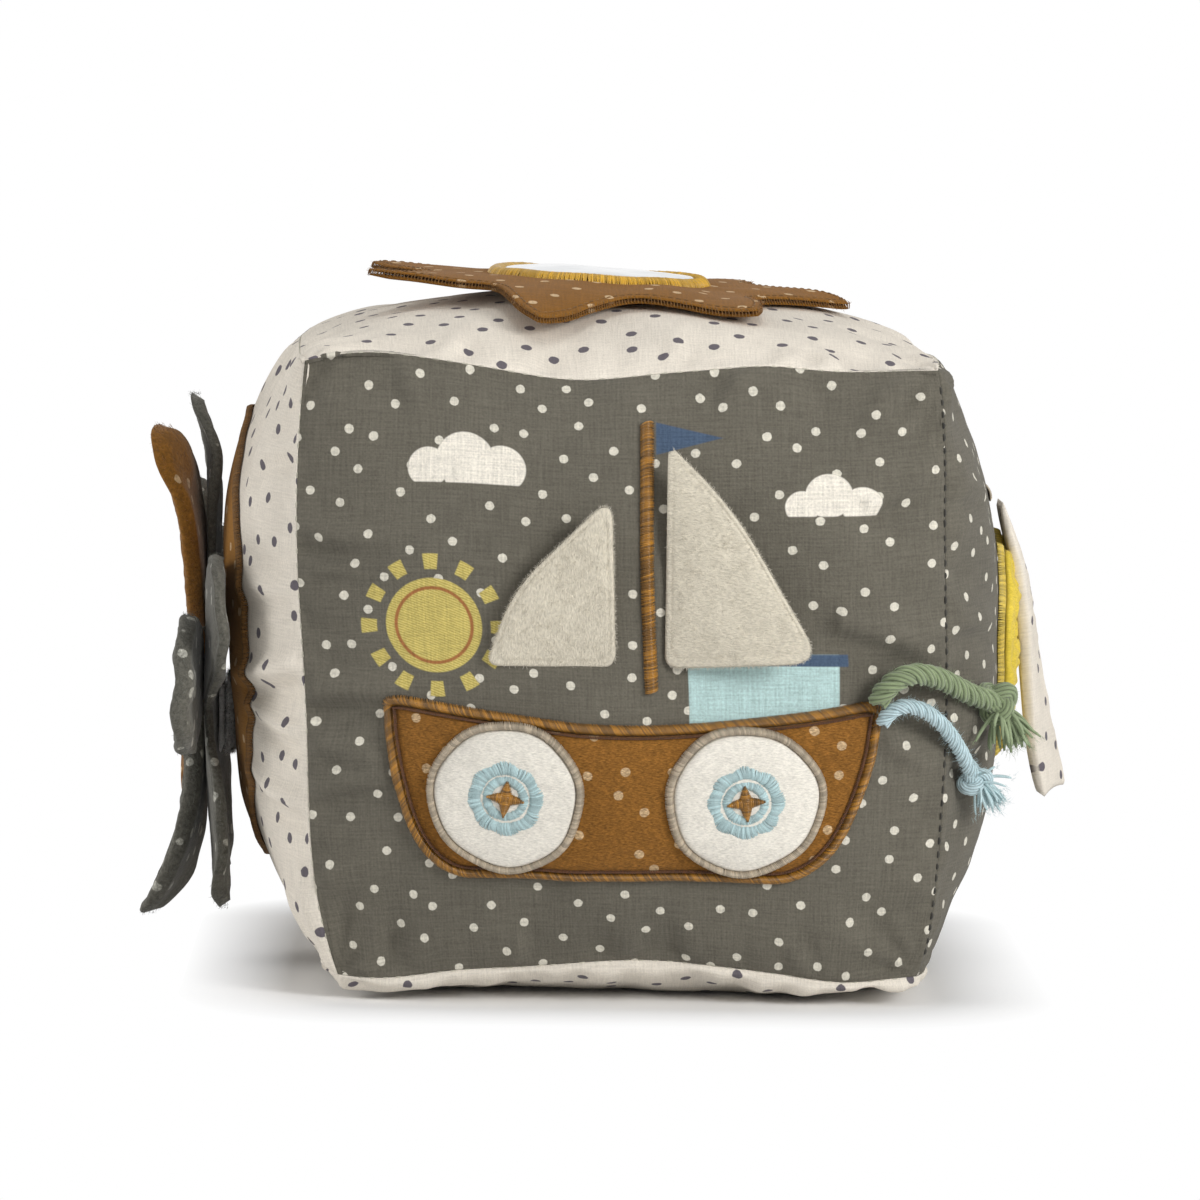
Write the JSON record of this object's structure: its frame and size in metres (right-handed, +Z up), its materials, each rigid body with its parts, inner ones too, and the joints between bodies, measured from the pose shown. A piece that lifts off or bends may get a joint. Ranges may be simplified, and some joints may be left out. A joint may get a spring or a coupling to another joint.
{
  "type": "soft activity rattle cube",
  "caption": "Stuffed fabric activity cube with a rattle inside, appliqué faces, terry flaps, knotted cords, a mirror flower and a pull-off flower.",
  "frame": {"origin": "the middle of the flat face that the cube rests on", "axes": "+Z up, -Y out of the face with the boat, +X to the right when looking at that face"},
  "size_m": [0.1736, 0.1436, 0.1323],
  "materials": {
    "grey_cotton": "matte",
    "cream_cotton": "matte",
    "filling": "matte",
    "capsule_plastic": "satin",
    "bead_plastic": "gloss",
    "brown_velour": "matte",
    "grey_velour": "matte",
    "white_velour": "matte",
    "yellow_velour": "matte",
    "white_terry": "matte",
    "brown_cotton": "matte",
    "gold_thread": "satin",
    "beige_thread": "satin",
    "blue_thread": "satin",
    "mustard_thread": "satin",
    "green_cord": "matte",
    "blue_cord": "matte",
    "white_tape": "matte",
    "mirror_foil": "polished"
  },
  "bodies": {
    "cube": {"front_panel": "grey_cotton", "back_panel": "grey_cotton", "left_panel": "cream_cotton", "right_panel": "grey_cotton", "top_panel": "cream_cotton", "bottom_panel": "cream_cotton", "filling_lower": "filling", "filling_upper": "filling", "rattle_capsule_lower": "capsule_plastic", "rattle_capsule_upper": "capsule_plastic", "hull_patch": "brown_velour", "hull_border": "gold_thread", "mast_stitching": "gold_thread", "left_porthole": "white_velour", "left_porthole_rim": "beige_thread", "left_porthole_rosette": "blue_thread", "left_porthole_star": "gold_thread", "right_porthole": "white_velour", "right_porthole_rim": "beige_thread", "right_porthole_rosette": "blue_thread", "right_porthole_star": "gold_thread", "green_cord": "green_cord", "green_cord_knot": "green_cord", "green_cord_tassel": "green_cord", "blue_cord": "blue_cord", "blue_cord_knot": "blue_cord", "blue_cord_tassel": "blue_cord", "top_flower_lining": "brown_cotton", "top_flower_cover": "brown_cotton", "mirror": "mirror_foil", "mirror_ring": "mustard_thread", "left_patch": "brown_cotton", "loop_tape": "white_tape", "yellow_patch": "yellow_velour", "yellow_border": "mustard_thread", "long_flap_bar_tack": "beige_thread"},
    "mainsail": {"mainsail_flap": "white_terry"},
    "jib": {"jib_flap": "white_terry"},
    "side_flower": {"hook_tape": "white_tape", "side_flower_inner_petals": "grey_velour", "side_flower_grey_petal_1": "grey_velour", "side_flower_grey_petal_2": "grey_velour", "side_flower_grey_petal_3": "grey_velour", "side_flower_brown_petal_1": "brown_velour", "side_flower_brown_petal_2": "brown_velour", "side_flower_middle": "brown_velour"},
    "long_flap": {"long_flap": "cream_cotton"},
    "rattle_beads": {"rattle_bead_1": "bead_plastic", "rattle_bead_2": "bead_plastic", "rattle_bead_3": "bead_plastic", "rattle_bead_4": "bead_plastic", "rattle_bead_5": "bead_plastic"}
  },
  "joints": [
    {"name": "mainsail_lift", "type": "hinge", "parent": "cube", "child": "mainsail", "pos_m": [0.00716, -0.06998, 0.06241], "axis": [0, 0, -1], "range_deg": [0, 120], "stiffness_Nm_per_rad": 0.0001},
    {"name": "jib_lift", "type": "hinge", "parent": "cube", "child": "jib", "pos_m": [-0.00157, -0.07, 0.06253], "axis": [1, 0, 0], "range_deg": [0, 150], "stiffness_Nm_per_rad": 0.0001},
    {"name": "side_flower_pull", "type": "slide", "parent": "cube", "child": "side_flower", "axis": [-1, 0, 0], "range_m": [0, 0.05]},
    {"name": "long_flap_lift", "type": "hinge", "parent": "cube", "child": "long_flap", "pos_m": [0.07289, 0, 0.08805], "axis": [0, -1, 0], "range_deg": [0, 135]},
    {"name": "rattle_beads_shake", "type": "slide", "parent": "cube", "child": "rattle_beads", "axis": [0, 0, 1], "range_m": [0, 0.0185]}
  ]
}
